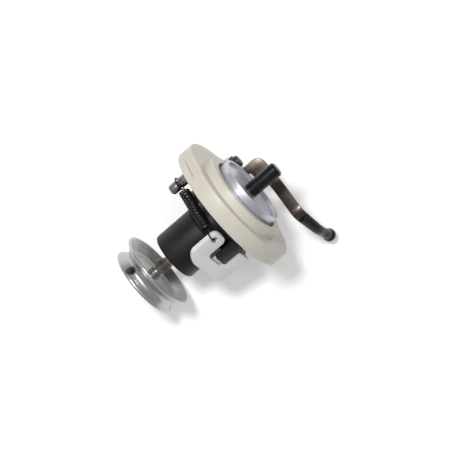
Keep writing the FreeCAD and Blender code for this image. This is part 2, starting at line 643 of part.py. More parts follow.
def latch_lever():
    """Stamped strip standing on edge: foot under the screw, tall lobe, feeler arc, bent handle."""
    face = Part.Face(rounded_wire(strip_corners(LEVER_PATH, LEVER_BENDS, LEVER_THICK, FOOT_LOW)))
    strip = face.extrude(V(0, 0, LEVER_TOP - FOOT_LOW))
    left = LEVER_PATH[0][0]
    right = LEVER_PATH[-1][0] + 5
    shoulder = LEVER_PATH[2][0] + GRIP_START
    tang_low = (LEVER_LOW + LEVER_TOP - TANG_TALL) / 2
    side = [((left, LEVER_TOP), LOBE_CORNER), ((shoulder, LEVER_TOP), STRIP_CORNER),
            ((shoulder, tang_low + TANG_TALL), 0), ((right, tang_low + TANG_TALL), 0),
            ((right, tang_low), 0), ((shoulder, tang_low), 0), ((shoulder, LEVER_LOW), STRIP_CORNER),
            ((LOBE_RIGHT, LEVER_LOW), 1.0), ((LOBE_RIGHT - LOBE_SLOPE, SEAT_TOP + SOFT_GAP), 1.0),
            ((left + LOBE_LEG, SEAT_TOP + SOFT_GAP), 0.8), ((left + LOBE_LEG, FOOT_LOW), 0),
            ((left, FOOT_LOW), 0)]
    wire = rounded_wire([(SPINDLE + V(x, 0, z), r) for (x, z), r in side])
    strip = strip.common(Part.Face(wire).extrude(V(0, 60, 0)))
    foot = cyl(LEVER_FOOT_R, FOOT_LOW, FOOT_TOP, LEVER_PIVOT)
    start = SPINDLE + V(*LEVER_PATH[0], FOOT_LOW)
    near = start - V(0, LEVER_THICK / 2, 0)
    web = [(at(LEVER_PIVOT, FOOT_LOW), 0), (V(near.x + LOBE_LEG, LEVER_PIVOT.y + 1, FOOT_LOW), STRIP_CORNER),
           (near + V(LOBE_LEG, LEVER_THICK, 0), 0), (near + V(-LOBE_WEB, LEVER_THICK, 0), 1.0)]
    foot = foot.fuse(Part.Face(rounded_wire(web)).extrude(V(0, 0, LEVER_THICK)))
    hole = cyl(LEVER_SPIGOT_R, FOOT_LOW - 1, FOOT_TOP + 1, LEVER_PIVOT)
    return strip.fuse(foot).removeSplitter().cut(hole)


def handle_stations():
    """Grip stations along the handle: (point, heading, half width, half height)."""
    corners = [SPINDLE + V(x, y, (LEVER_LOW + LEVER_TOP) / 2) for x, y in LEVER_PATH]
    bend, turn, end = corners[2], corners[3], corners[4]
    first = (turn - bend).normalize()
    last = (end - turn).normalize()
    reach = LEVER_BENDS[2] * math.tan(first.getAngle(last) / 2)
    wide = LEVER_THICK / 2 + GRIP_WALL
    tall = GRIP_NECK_TALL / 2
    room = (end - turn).Length - reach
    return [(bend + first * GRIP_START, first, wide * 0.9, tall * 1.08),
            (turn - first * (reach + 1.0), first, wide, tall * 0.95),
            (turn + (last - first) * 0.35, (first + last).normalize(), wide, tall * 0.92),
            (turn + last * (reach + room * 0.3), last, wide * 1.15, tall * 0.98),
            (end, last, GRIP_BULB_R * 0.97, GRIP_BULB_R * 0.97)]


def lever_grip():
    """Dipped black grip: oval sections that swell into a round bulb, with the strip inside."""
    sections = []
    for point, heading, wide, tall in handle_stations():
        section = Part.Ellipse(V(0, 0, 0), max(wide, tall) + 1e-3, min(wide, tall))
        wire = Part.Wire(section.toShape())
        upright = tall >= wide
        along = UP if upright else heading.cross(UP)
        placement = FreeCAD.Placement(point, FreeCAD.Rotation(along, V(0, 0, 0), heading, "ZXY"))
        wire.Placement = placement
        sections.append(wire)
    body = Part.makeLoft(sections, True, False)
    point, heading, wide, tall = handle_stations()[-1]
    body = body.fuse(Part.makeSphere(GRIP_BULB_R, point))
    return body.removeSplitter().cut(latch_lever())


def lever_screw():
    head_top = FOOT_TOP + LEVER_HEAD_TALL
    head = cyl(LEVER_HEAD_R, FOOT_TOP, head_top, LEVER_PIVOT)
    head = head.makeFillet(HEAD_EDGE, [e for e in head.Edges if e.BoundBox.ZMin > FOOT_TOP + 1])
    slot = Part.makeBox(2 * LEVER_HEAD_R, SCREW_SLOT, SCREW_SLOT + 1)
    slot.translate(V(-LEVER_HEAD_R, -SCREW_SLOT / 2, 0))
    slot.rotate(V(0, 0, 0), UP, LEVER_SLOT_ANGLE)
    slot.translate(at(LEVER_PIVOT, head_top - SCREW_SLOT))
    shank = cyl(LEVER_SCREW_R, LUG_TOP - LEVER_SCREW_DEEP, FOOT_TOP, LEVER_PIVOT)
    return head.fuse(shank).removeSplitter().cut(slot)


def lever_shaft():
    """Shaft in its bush: the foot seats on its upper spigot, the cam on its lower end."""
    shaft = cyl(LEVER_SHAFT_R, CAM_LOW, FOOT_LOW, LEVER_PIVOT)
    spigot = cyl(LEVER_SPIGOT_R, FOOT_LOW, FOOT_TOP - AXIAL_GAP, LEVER_PIVOT)
    tapped = cyl(LEVER_SCREW_R, LUG_TOP - LEVER_SCREW_DEEP - AXIAL_GAP, FOOT_TOP + 1, LEVER_PIVOT)
    return shaft.fuse(spigot).removeSplitter().cut(tapped)


def lever_washer():
    top = LUG_TOP + LEVER_WASHER_THICK - AXIAL_GAP
    return ring(LEVER_BUSH_R + LEVER_WASHER_RIM, LEVER_SHAFT_R + RUNNING_GAP, LUG_TOP, top, LEVER_PIVOT)


def lever_bush():
    return ring(LEVER_BUSH_R, LEVER_SHAFT_R + RUNNING_GAP, -BACKING_THICK, LUG_TOP, LEVER_PIVOT)


def lever_cam():
    """Eccentric disc clamped on the lever shaft, which pushes the arm's pad."""
    centre = LEVER_PIVOT + unit(CAM_REST_ANGLE) * CAM_OFFSET
    cam = cyl(CAM_R, CAM_LOW, CAM_TOP, centre)
    screw = cam_screw_cylinder(CAM_SCREW_R, LEVER_SHAFT_R, CAM_R + CAM_OFFSET + 1)
    return cam.cut([cyl(LEVER_SHAFT_R, CAM_LOW - 1, CAM_TOP + 1, LEVER_PIVOT), screw])


def cam_screw_cylinder(radius, start, end):
    way = unit(CAM_REST_ANGLE)
    middle = (CAM_LOW + CAM_TOP) / 2
    return Part.makeCylinder(radius, end - start, at(LEVER_PIVOT + way * start, middle), way)


def cam_set_screw():
    return cam_screw_cylinder(CAM_SCREW_R, LEVER_SHAFT_R, CAM_R + CAM_OFFSET - CAM_SCREW_SINK)


def seat_washer():
    return ring(WASHER_R, SHAFT_R + RUNNING_GAP, NECK_TOP, NECK_TOP + WASHER_THICK, SPINDLE)


def build():
    clip_low = HOUSING_STEP - AXIAL_GAP - CLIP_THICK
    ring_low = NECK_TOP - BUSH_LONG - AXIAL_GAP - RING_THICK
    return {
        "base_flange": base_flange(),
        "backing_plate": backing_plate(),
        "backing_plate_screws": backing_screws(),
        "stop_block": stop_block(),
        "spring_stud": spring_stud(),
        "lever_bush": lever_bush(),
        "swing_pivot_pin": pivot_pin(),
        "pivot_clip": snap_ring(CLIP_R, PIVOT_R, RING_GROOVE, clip_low, CLIP_THICK, PIVOT, 60),
        "tension_spring": tension_spring(),
        "bearing_housing": bearing_housing(),
        "upper_bushing": bushing(NECK_TOP - BUSH_LONG),
        "lower_bushing": bushing(HOUSING_LOW),
        "seat_washer": seat_washer(),
        "spring_plate": spring_plate(),
        "plate_screw": plate_screw(),
        "winder_shaft": winder_shaft(),
        "shaft_ring": snap_ring(RING_R, SHAFT_R, RING_GROOVE, ring_low, RING_THICK, SPINDLE, 200),
        "bobbin_spindle": bobbin_spindle(),
        "bobbin_seat_disc": bobbin_seat_disc(),
        "drive_pulley": pulley(),
        "pulley_set_screw": pulley_set_screw(),
        "latch_lever": latch_lever(),
        "lever_grip": lever_grip(),
        "lever_screw": lever_screw(),
        "lever_washer": lever_washer(),
        "lever_shaft": lever_shaft(),
        "lever_cam": lever_cam(),
        "cam_set_screw": cam_set_screw(),
    }


def main():
    os.makedirs("parts", exist_ok=True)
    for name, shape in build().items():
        print(name, "valid", shape.isValid(), "solids", len(shape.Solids), "volume %.1f" % shape.Volume)
        shape.exportStep("parts/%s.step" % name)


main()
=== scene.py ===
"""Sewing bobbin winder lying on a pale table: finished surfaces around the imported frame.

Lengths inside the shape functions are millimetres and are turned into metres when a mesh is made.
The spindle stands along +Z, the camera looks from -Y, and the table lies behind the winder.
"""
import json
import math

import bmesh
import bpy
from mathutils import Matrix, Vector


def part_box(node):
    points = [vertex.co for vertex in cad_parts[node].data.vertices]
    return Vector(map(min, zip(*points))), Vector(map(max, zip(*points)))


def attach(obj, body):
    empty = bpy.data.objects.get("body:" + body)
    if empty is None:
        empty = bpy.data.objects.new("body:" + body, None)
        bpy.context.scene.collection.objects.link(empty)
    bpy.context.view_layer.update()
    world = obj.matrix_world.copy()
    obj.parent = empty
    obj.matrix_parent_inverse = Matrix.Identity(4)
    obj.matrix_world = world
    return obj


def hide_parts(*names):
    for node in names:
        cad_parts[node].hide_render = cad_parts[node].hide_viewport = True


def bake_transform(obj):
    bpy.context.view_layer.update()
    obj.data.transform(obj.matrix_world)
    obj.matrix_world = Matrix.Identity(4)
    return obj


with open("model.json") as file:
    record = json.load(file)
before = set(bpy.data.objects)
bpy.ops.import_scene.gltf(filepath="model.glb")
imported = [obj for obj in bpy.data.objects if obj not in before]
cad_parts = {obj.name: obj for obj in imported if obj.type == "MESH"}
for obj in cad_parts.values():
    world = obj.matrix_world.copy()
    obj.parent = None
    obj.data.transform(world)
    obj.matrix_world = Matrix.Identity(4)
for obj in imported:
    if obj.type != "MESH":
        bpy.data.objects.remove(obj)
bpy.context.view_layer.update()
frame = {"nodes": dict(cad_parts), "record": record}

MM = 0.001
UP = Vector((0, 0, 1))


def node_box(node):
    """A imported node's lowest and highest corner in millimetres."""
    low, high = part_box(node)
    return low / MM, high / MM


def node_axis(node):
    """Where the vertical axis of a round node stands, in millimetres, at z = 0."""
    low, high = node_box(node)
    middle = (low + high) / 2
    return Vector((middle.x, middle.y, 0))


SPINDLE = node_axis("winder_shaft")
FLANGE_HIGH = node_box("base_flange")[1]
STUD = node_axis("spring_stud")
LEVER_PIVOT = node_axis("lever_screw")
SWING_PIVOT = node_axis("swing_pivot_pin")

# Camera: distance, height above the flange's plane, turn about the line of sight, field
CAMERA_FAR = 750.0
CAMERA_RISE = 12.6
CAMERA_TURN = 49.4
VIEW_WIDE = 176.15
SENSOR = 36.0
AIM = SPINDLE + Vector((5.69, 0.0, -3.43))

# Flange casting and backing plate
FLANGE_R = 27.8
FLANGE_TALL = 6.8
BOSS_R = 19.3
BOSS_TOP = 10.5
WELL_R = 15.8
WELL_FLOOR = 8.3
NECK_BORE_R = 9.3
LUG_R = 3.9
LUG_TOP = 11.4
LEVER_BUSH_R = 3.1
NOTCH_ANGLE = 226.0
NOTCH_DEEP = 1.7
NOTCH_END = 2.6
NOTCH_LEDGE = 2.9
BACKING_R = 19.5

# Seat disc and shaft
SHAFT_R = 2.5
SHAFT_MARK_Z = -35.6
SHAFT_MARK_DEEP = 0.25
SHAFT_MARK_TALL = 0.6
SPINDLE_CHAMFER = 0.7
SEAT_R = 14.5
SEAT_LOW = 10.0
SEAT_RIM = 1.1
SEAT_SLOPE = 0.4
SEAT_DISH = 1.2
SEAT_HUB_R = 6.2

# Pulley; its set screw's hole breaks 0.2 mm through the undercut, as in the source
PULLEY_R = 16.4
PULLEY_LOW_R = 15.0
PULLEY_FLOOR_R = 13.1
PULLEY_LIP = 1.0
PULLEY_DISH_R = 15.4
PULLEY_DISH_DEEP = 3.4
PULLEY_DISH_FLOOR_R = 11.6
PULLEY_UNDERCUT = 1.2
PULLEY_UNDERCUT_R = 12.6
PULLEY_HUB_R = 6.4
SET_SCREW_R = 1.8
SET_SCREW_Z = -40.6
SET_SCREW_ANGLE = 241.0
SET_SCREW_SINK = 0.7
SET_SCREW_HEX_R = 1
SET_SCREW_HEX_DEEP = 2
GROOVE_STEPS = 14

# Bearing housing
HOUSING_R = 10.1
HOUSING_STEP = -10.0
HOUSING_EDGE = 1.0
ARM_TOP = -2.7
ARM_R = 9.3
NECK_R = 7.5
BUSH_R = 4.6
PIVOT_BOSS_R = 5.5
PIVOT_PIN_R = 2.64
EAR_LEFT = 4.1
EAR_RIGHT = 10.8
EAR_OUT = 11.0
EAR_LOW = -10.2
EAR_TOP = -5.2

# Spring plate, along its face and upwards
PLATE_ANGLE = -47.0
PLATE_INNER = 12.2
PLATE_THICK = 2.2
PLATE_LEFT = -8.7
PLATE_RIGHT = 13.0
PLATE_LOW = -19.9
PLATE_TOP = -4.2
SLOT_LEFT = -1.7
SLOT_RIGHT = 7.1
SLOT_LOW = -14.1
TAB_DEEP = 8.4
PLATE_HOLE_R = 1.35
PLATE_HOLE_AT = -6.0
PLATE_HOLE_Z = -7.24

# Stop block and spring stud
STOP_LEFT = 1.3
STOP_RIGHT = 6.7
STOP_INNER = 12.45
STOP_DEEP = 2.5
STUD_NECK_Z = -4.9
STUD_NECK_TALL = 1.4
STUD_NECK_DEEP = 0.5

# Tension spring: loops on the stud and through the plate's hole, and the turns between. It is wound
# closer than the source's, as in the photo
WIRE_R = 0.31
HOOK_ROOM = 0.2
COIL_R = 1.95
COIL_TURNS = 25
COIL_PITCH = 0.68
COIL_LEAD = 0.7

# Latch lever, from the spindle
LEVER_PATH = ((-8.9, 16.9), (5.0, 16.9), (18.5, 11.3), (28.6, 21.0), (33.4, 31.6))
LEVER_BENDS = (0, 14.0, 3.4, 11.0, 0)
LEVER_THICK = 1.2
LEVER_LOW = 16.6
LEVER_TOP = 21.3
LEVER_FOOT_R = 3.3
FOOT_LOW = 11.9
FOOT_TOP = 13.1
LOBE_LOW = 14.1
LOBE_LEG = 3.4
LOBE_CORNER = 3.6
LOBE_RIGHT = 9.9
LOBE_SLOPE = 2.5
LOBE_WEB = 2.2
GRIP_START = 2.7
GRIP_WIDE = 1.8
GRIP_TALL = 2.4
GRIP_BULB_R = 2.7
GRIP_NECK = 3.5
GRIP_NECK_BLEND = 2.5
SCREW_SLOT = 0.6
SCREW_SLOT_ANGLE = 35.0
SCREW_SLOT_DEEP = 0.8
LEVER_HEAD_R = 2.4
LEVER_HEAD_TALL = 1.5
PLATE_HEAD_R = 2.5
PLATE_HEAD_IN = 0.5
PLATE_HEAD_OUT = 2.3

# Cuts across the lever and the grip, so that they can bend
LEVER_CUT = 0.7
GRIP_CUT = 0.8


# Table and light: sizes in metres, the rest in millimetres; the glow and the room's level are strengths
TABLE_SIZE = 2.5
TABLE_GAP = 0.05
PULLEY_REST = 4.0
TABLE_GLOW = 0.30
ROOM_LEVEL = 0.32

# How far a brushed grain is drawn out along x and squeezed across it
GRAIN_SCALE = (0.12, 2.6, 2.6)


# Shapes


def round_corners(bm, verts, roundings):
    """Round each outline corner that has a rounding, in millimetres."""
    for vert, rounding in zip(verts, roundings):
        if rounding:
            bmesh.ops.bevel(bm, geom=[vert], offset=rounding * MM, offset_type="OFFSET",
                            affect="VERTICES", segments=4, profile=0.5, material=-1)


def outline(bm, points, roundings):
    verts = [bm.verts.new(Vector(point) * MM) for point in points]
    for i, vert in enumerate(verts):
        bm.edges.new((vert, verts[(i + 1) % len(verts)]))
    round_corners(bm, verts, roundings)


def turned(profile, centre, steps=180):
    """A solid turned about the vertical axis through centre, from (radius, z, rounding) corners."""
    bm = bmesh.new()
    outline(bm, [(r, 0, z) for r, z, _ in profile], [rounding for _, _, rounding in profile])
    bmesh.ops.spin(bm, geom=bm.verts[:] + bm.edges[:], cent=(0, 0, 0), axis=UP, dvec=(0, 0, 0),
                   angle=math.tau, steps=steps, use_merge=True)
    bmesh.ops.remove_doubles(bm, verts=bm.verts[:], dist=1e-6)
    bmesh.ops.recalc_face_normals(bm, faces=bm.faces[:])
    bmesh.ops.translate(bm, verts=bm.verts[:], vec=Vector((centre.x, centre.y, 0)) * MM)
    return bm


def thicken(bm, shift):
    """Grow flat faces into a solid, by shift in millimetres."""
    grown = bmesh.ops.extrude_face_region(bm, geom=bm.faces[:])
    lifted = [part for part in grown["geom"] if isinstance(part, bmesh.types.BMVert)]
    bmesh.ops.translate(bm, verts=lifted, vec=shift * MM)
    bmesh.ops.recalc_face_normals(bm, faces=bm.faces[:])


def slab(corners, thick, place, edge=0.15):
    """A flat piece from (x, y, rounding) corners, thick along its own z, moved by the matrix place."""
    bm = bmesh.new()
    outline(bm, [(x, y, 0) for x, y, _ in corners], [rounding for _, _, rounding in corners])
    bmesh.ops.edgeloop_fill(bm, edges=bm.edges[:])
    thicken(bm, UP * thick)
    soften(bm, edge)
    bmesh.ops.transform(bm, matrix=place, verts=bm.verts[:])
    return bm


def soften(bm, edge, angle=35.0):
    """Bevel every edge sharper than angle."""
    sharp = [e for e in bm.edges if len(e.link_faces) == 2
             and e.calc_face_angle(0) > math.radians(angle)]
    if edge and sharp:
        bmesh.ops.bevel(bm, geom=sharp, offset=edge * MM, offset_type="OFFSET", affect="EDGES",
                        segments=2, profile=0.5, material=-1, clamp_overlap=True)


def mesh_object(name, bm):
    mesh = bpy.data.meshes.new(name)
    bm.to_mesh(mesh)
    bm.free()
    thing = bpy.data.objects.new(name, mesh)
    bpy.context.scene.collection.objects.link(thing)
    return thing


def settle(thing):
    """Apply a piece's modifiers to its mesh."""
    bpy.context.view_layer.update()
    graph = bpy.context.evaluated_depsgraph_get()
    mesh = bpy.data.meshes.new_from_object(thing.evaluated_get(graph))
    thing.modifiers.clear()
    thing.data = mesh


def combine(name, base, *steps):
    """Join or cut solids in turn: steps are (operation, bmesh), with UNION or DIFFERENCE."""
    thing = mesh_object(name, base)
    tools = []
    for operation, shape in steps:
        tool = mesh_object(name + "_tool", shape)
        tools.append(tool)
        change = thing.modifiers.new(operation, "BOOLEAN")
        change.operation = operation
        change.solver = "EXACT"
        change.object = tool
    settle(thing)
    for tool in tools:
        bpy.data.objects.remove(tool)
    return thing


def smooth(thing, angle=32.0):
    for face in thing.data.polygons:
        face.use_smooth = True
    thing.data.set_sharp_from_angle(angle=math.radians(angle))


def dress(thing, body, nodes, finish, angle=32.0):
    """Give a piece its finish and its body, and hide the nodes that it stands for."""
    smooth(thing, angle)
    thing.data.materials.clear()
    thing.data.materials.append(finish)
    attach(thing, body)
    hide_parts(*nodes)


# Shader expressions


class Value:
    """One shader socket that takes part in plain expressions."""

    def __init__(self, shade, socket):
        self.shade = shade
        self.socket = socket

    def __add__(self, other):
        return self.shade.math("ADD", self, other)

    def __sub__(self, other):
        return self.shade.math("SUBTRACT", self, other)

    def __rsub__(self, other):
        return self.shade.math("SUBTRACT", other, self)

    def __mul__(self, other):
        return self.shade.math("MULTIPLY", self, other)

    def __truediv__(self, other):
        return self.shade.math("DIVIDE", self, other)

    __radd__ = __add__
    __rmul__ = __mul__


class Shade:
    """The nodes of one material, or of the world."""

    def __init__(self, name, holder=None):
        self.material = holder or bpy.data.materials.new(name)
        self.material.use_nodes = True
        self.tree = self.material.node_tree
        self.tree.nodes.clear()

    def add(self, kind, settings=None, sockets=None, output=0):
        """Any node: its settings first, then the values or links of its sockets."""
        node = self.tree.nodes.new(kind)
        for name, value in (settings or {}).items():
            setattr(node, name, value)
        for name, value in (sockets or {}).items():
            if isinstance(value, Value):
                self.tree.links.new(value.socket, node.inputs[name])
            else:
                node.inputs[name].default_value = value
        return Value(self, node.outputs[output]) if node.outputs else None

    def math(self, operation, *values):
        return self.add("ShaderNodeMath", {"operation": operation}, dict(enumerate(values)))

    def clamped(self, value):
        return self.add("ShaderNodeClamp", None, {"Value": value})

    def point(self):
        return self.add("ShaderNodeTexCoord", output="Object")

    def noise(self, size, detail=3.0, rough=0.55, vector=None):
        """Noise with features of about size millimetres, from 0 to 1."""
        sockets = {"Scale": 1 / (size * MM), "Detail": detail, "Roughness": rough}
        sockets["Vector"] = vector or self.point()
        return self.add("ShaderNodeTexNoise", None, sockets, "Fac")

    def stretched(self, scale):
        """The object's point scaled unevenly, for a grain that runs one way."""
        return self.add("ShaderNodeMapping", None, {"Vector": self.point(), "Scale": scale})

    def axis_distance(self, centre):
        """Distance from the vertical axis through centre, in millimetres."""
        shifted = self.add("ShaderNodeVectorMath", {"operation": "SUBTRACT"},
                           {0: self.point(), 1: Vector((centre.x, centre.y, 0)) * MM})
        flat = self.add("ShaderNodeVectorMath", {"operation": "MULTIPLY"}, {0: shifted, 1: (1, 1, 0)})
        length = self.add("ShaderNodeVectorMath", {"operation": "LENGTH"}, {0: flat}, "Value")
        return length / MM

    def lathe_lines(self, centre, pitch):
        """Fine rings of a turning tool about centre, also along a turned wall."""
        height = self.add("ShaderNodeSeparateXYZ", None, {"Vector": self.point()}, "Z") / MM
        along = (self.axis_distance(centre) + height * 0.83) / pitch
        return self.add("ShaderNodeTexNoise", {"noise_dimensions": "1D"},
                        {"W": along, "Scale": 1.0, "Detail": 2.0, "Roughness": 0.7}, "Fac")

    def mix(self, factor, first, second):
        """Colour between first and second."""
        return self.add("ShaderNodeMix", {"data_type": "RGBA"},
                        {0: factor, 6: rgba(first), 7: rgba(second)}, 2)

    def bump(self, height, strength, deep):
        return self.add("ShaderNodeBump", None,
                        {"Height": height, "Strength": strength, "Distance": deep * MM})

    def surface(self, **sockets):
        """The finished shader: sockets by name, with spaces written as underscores."""
        named = {name.replace("_", " "): value for name, value in sockets.items()}
        shader = self.add("ShaderNodeBsdfPrincipled", None, named)
        self.add("ShaderNodeOutputMaterial", None, {"Surface": shader})
        return self.material


def rgba(colour):
    return colour if isinstance(colour, Value) else (*colour, 1.0)


def painted(name, colour, dusty, rough, grain, sink, coat=0.0, shine=0.5):
    """Paint or enamel: faint clouding, a grainy skin and uneven gloss."""
    shade = Shade(name)
    cloud = shade.noise(6.0, 4.0)
    skin = shade.noise(grain, 2.0)
    marks = shade.noise(1.1, 6.0, 0.7)
    mask = shade.clamped((marks - 0.62) * 5.0)
    tone = shade.mix(shade.clamped(cloud * 1.4 - 0.2), colour, dusty)
    return shade.surface(Base_Color=shade.mix(mask * 0.35, tone, dusty),
                         Roughness=shade.clamped(rough + (cloud - 0.5) * 0.18 + mask * 0.1),
                         Normal=shade.bump(skin, 0.35, sink), Coat_Weight=coat, Coat_Roughness=0.25,
                         Specular_IOR_Level=shine)


def machined(name, colour, dark, rough, centre, pitch, sink, metallic=1.0):
    """Turned metal: tool rings about an axis, with slight stains."""
    shade = Shade(name)
    rings = shade.lathe_lines(centre, pitch)
    broad = shade.lathe_lines(centre, pitch * 7)
    stain = shade.noise(3.0, 5.0, 0.65)
    tone = shade.mix(shade.clamped(rings * 0.6 + broad * 0.7 - 0.15), dark, colour)
    tone = shade.mix(shade.clamped((stain - 0.55) * 3.0) * 0.4, tone, dark)
    return shade.surface(Base_Color=tone, Metallic=metallic,
                         Roughness=shade.clamped(rough + (rings - 0.5) * 0.22 + (stain - 0.5) * 0.12),
                         Normal=shade.bump(rings + broad * 0.8, 0.5, sink))


def brushed(name, colour, dark, rough, metallic=1.0, sink=0.02):
    """Rolled or drawn metal with a grain that runs one way and a few darker stains."""
    shade = Shade(name)
    grain = shade.noise(1.0, 3.0, 0.6, shade.stretched(GRAIN_SCALE))
    stain = shade.noise(2.4, 5.0, 0.65)
    tone = shade.mix(shade.clamped(grain * 1.3 - 0.15), dark, colour)
    tone = shade.mix(shade.clamped((stain - 0.5) * 3.0) * 0.5, tone, dark)
    return shade.surface(Base_Color=tone, Metallic=metallic,
                         Roughness=shade.clamped(rough + (grain - 0.5) * 0.2 + (stain - 0.5) * 0.16),
                         Normal=shade.bump(grain, 0.4, sink))


CREAM = (0.68, 0.64, 0.565)
CREAM_DUSTY = (0.60, 0.56, 0.475)
BLACK_PAINT = (0.006, 0.006, 0.006)
BLACK_WORN = (0.016, 0.015, 0.014)

finish_cream = painted("cream_enamel", CREAM, CREAM_DUSTY, 0.42, 0.9, 0.02, 0.25)
finish_casting = painted("black_satin_casting", BLACK_PAINT, BLACK_WORN, 0.46, 0.5, 0.05, shine=0.3)
finish_oxide = painted("black_oxide_steel", (0.007, 0.007, 0.007), (0.03, 0.028, 0.026), 0.34, 0.4, 0.03,
                       shine=0.4)
finish_screw = painted("black_screw", (0.02, 0.02, 0.021), (0.06, 0.057, 0.054), 0.33, 0.3, 0.01)
finish_spindle = machined("black_oxide_spindle", (0.02, 0.02, 0.021), (0.010, 0.010, 0.011), 0.27,
                          SPINDLE, 0.25, 0.004, 0.6)
finish_disc = machined("satin_aluminium", (0.70, 0.69, 0.76), (0.55, 0.54, 0.61), 0.36,
                       SPINDLE, 0.22, 0.008, 0.7)
finish_pulley = machined("turned_aluminium", (0.68, 0.68, 0.68), (0.34, 0.34, 0.35), 0.29,
                         SPINDLE, 0.20, 0.012, 0.85)
finish_shaft = machined("bright_steel", (0.78, 0.73, 0.67), (0.50, 0.44, 0.38), 0.24, SPINDLE, 0.5, 0.006)
finish_stud = machined("stud_steel", (0.50, 0.48, 0.46), (0.16, 0.15, 0.14), 0.30, STUD, 0.4, 0.006)
finish_plate = painted("white_zinc_plate", (0.80, 0.80, 0.80), (0.70, 0.70, 0.71), 0.36, 0.35, 0.012)
finish_strip = brushed("dark_nickel_strip", (0.15, 0.125, 0.108), (0.055, 0.046, 0.040), 0.34, 0.85)
finish_grip = painted("black_vinyl_grip", (0.003, 0.003, 0.003), (0.008, 0.008, 0.008), 0.30, 1.6, 0.04,
                      shine=0.25)
finish_wire = brushed("black_spring_wire", (0.075, 0.07, 0.066), (0.02, 0.019, 0.018), 0.30, 0.8, 0.008)
finish_bronze = machined("sintered_bronze", (0.52, 0.34, 0.17), (0.30, 0.19, 0.10), 0.42, SPINDLE, 0.3, 0.01)
finish_blued = brushed("spring_steel", (0.20, 0.20, 0.22), (0.07, 0.07, 0.08), 0.30, 1.0, 0.006)
finish_nylon = painted("white_nylon", (0.78, 0.77, 0.72), (0.66, 0.65, 0.60), 0.45, 0.6, 0.01)

node_finishes = {
    "cream_enamel": finish_cream,
    "black_oxide_steel": finish_oxide,
    "black_screw": finish_screw,
    "bright_steel": finish_shaft,
    "sintered_bronze": finish_bronze,
    "spring_steel": finish_blued,
    "black_spring_wire": finish_wire,
    "black_satin_casting": finish_casting,
    "white_nylon": finish_nylon,
    "white_zinc_plate": finish_plate,
    "black_oxide_spindle": finish_spindle,
    "satin_aluminium": finish_disc,
    "turned_aluminium": finish_pulley,
    "dark_nickel_strip": finish_strip,
    "black_vinyl_grip": finish_grip,
}

for entry in frame["record"]["subparts"]:
    data = frame["nodes"][entry["node"]].data
    data.materials.clear()
    data.materials.append(node_finishes[entry["material_slot"]])


# Stage: the table, the lamps and the camera

view_turn = Matrix.Rotation(math.radians(90 - CAMERA_RISE), 3, "X")
view_turn = view_turn @ Matrix.Rotation(math.radians(CAMERA_TURN), 3, "Z")
RIGHT, ABOVE, TOWARDS = view_turn.col[0], view_turn.col[1], view_turn.col[2]


def stage_point(right, above, towards):
    """A place given along the picture's width and height and towards the camera, in millimetres."""
    return AIM + RIGHT * right + ABOVE * above + TOWARDS * towards


def make_camera():
    camera = bpy.data.cameras.new("camera")
    camera.sensor_width = SENSOR
    camera.lens = SENSOR * CAMERA_FAR / VIEW_WIDE
    camera.clip_start = 0.01
    holder = bpy.data.objects.new("camera", camera)
    holder.matrix_world = Matrix.Translation(stage_point(0, 0, CAMERA_FAR) * MM) @ view_turn.to_4x4()
    bpy.context.scene.collection.objects.link(holder)
    bpy.context.scene.camera = holder


def make_lamp(name, place, size, power):
    lamp = bpy.data.lights.new(name, "AREA")
    lamp.shape = "DISK"
    lamp.size = size * MM
    lamp.energy = power
    holder = bpy.data.objects.new(name, lamp)
    aim = (AIM - place).to_track_quat("-Z", "Y")
    holder.matrix_world = Matrix.Translation(place * MM) @ aim.to_matrix().to_4x4()
    bpy.context.scene.collection.objects.link(holder)


def seen_by(shade, *rays):
    """1 where a ray of these kinds looks, and 0 where light only falls."""
    return shade.clamped(sum(shade.add("ShaderNodeLightPath", output=f"Is {ray} Ray") for ray in rays))


def make_table():
    """The table lies just behind the pulley's and the flange's far rims and shows only from its front."""
    pulley_low, pulley_high = node_box("drive_pulley")
    rim_far = Vector((0, FLANGE_HIGH.y, FLANGE_TALL))
    pulley_far = Vector((0, pulley_high.y, pulley_low.z + PULLEY_REST))
    along = (rim_far - pulley_far).normalized()
    normal = Vector((1, 0, 0)).cross(along)
    place = Matrix((Vector((1, 0, 0)), along, normal)).transposed().to_4x4()
    place.translation = (rim_far - normal * TABLE_GAP) * MM
    bm = bmesh.new()
    bmesh.ops.create_grid(bm, x_segments=1, y_segments=1, size=TABLE_SIZE)
    bmesh.ops.transform(bm, matrix=place, verts=bm.verts[:])
    table = mesh_object("table", bm)
    shade = Shade("table_white")
    paper = shade.noise(9.0, 3.0)
    sheet = shade.add("ShaderNodeBsdfDiffuse", None,
                      {"Color": shade.mix(paper, (0.80, 0.80, 0.80), (0.82, 0.82, 0.82))})
    seen = seen_by(shade, "Camera", "Glossy", "Transmission")
    glow = shade.add("ShaderNodeEmission", None, {"Color": rgba((1, 1, 1)), "Strength": seen * TABLE_GLOW})
    lit = shade.add("ShaderNodeAddShader", None, {0: sheet, 1: glow})
    behind = shade.add("ShaderNodeNewGeometry", output="Backfacing")
    clear = shade.add("ShaderNodeBsdfTransparent")
    both = shade.add("ShaderNodeMixShader", None, {0: behind, 1: lit, 2: clear})
    shade.add("ShaderNodeOutputMaterial", None, {"Surface": both})
    table.data.materials.append(shade.material)


def make_world():
    """White to the camera and through clear pieces; gloss sees the dimmer room, which keeps metals deep."""
    world = bpy.data.worlds.new("room")
    shade = Shade("room", world)
    level = ROOM_LEVEL + seen_by(shade, "Camera", "Transmission") * (1 - ROOM_LEVEL)
    room = shade.add("ShaderNodeBackground", None, {"Color": rgba((1, 1, 1)), "Strength": level})
    shade.add("ShaderNodeOutputWorld", None, {"Surface": room})
    bpy.context.scene.world = world


